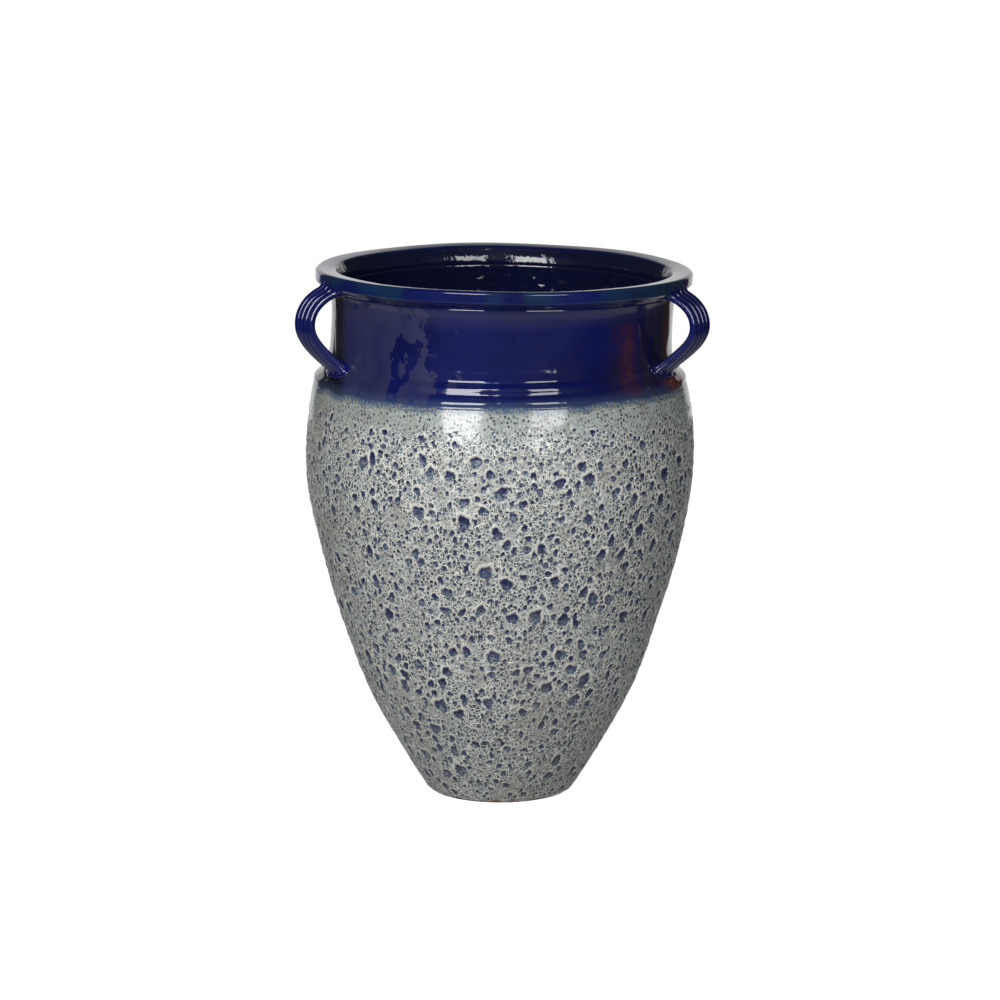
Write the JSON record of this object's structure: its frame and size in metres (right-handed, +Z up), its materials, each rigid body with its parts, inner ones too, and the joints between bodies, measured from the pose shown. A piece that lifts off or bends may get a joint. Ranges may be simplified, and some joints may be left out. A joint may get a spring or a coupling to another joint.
{
  "type": "amphora",
  "caption": "Tall glazed stoneware amphora: tapering body on a narrow foot, short wide neck, rolled lip and ribbed strap handles.",
  "frame": {"origin": "centre of the foot on the ground plane", "axes": "+Z up along the pot's axis, -Y towards the front, the two handles to -X and +X and turned a little to the front"},
  "size_m": [0.4202, 0.401, 0.55],
  "materials": {
    "bare_clay": "unglazed stoneware, matte",
    "crater_glaze": "satin crater glaze, ivory web over blue-grey and navy",
    "cobalt_glaze": "high gloss cobalt glaze"
  },
  "bodies": {
    "root": {"base_slab": "bare_clay", "lower_wall": "crater_glaze", "belly_wall": "crater_glaze", "shoulder_wall": "crater_glaze", "neck_collar": "cobalt_glaze", "rim_lip": "cobalt_glaze", "handle_left": "cobalt_glaze", "handle_right": "cobalt_glaze"}
  },
  "joints": []
}
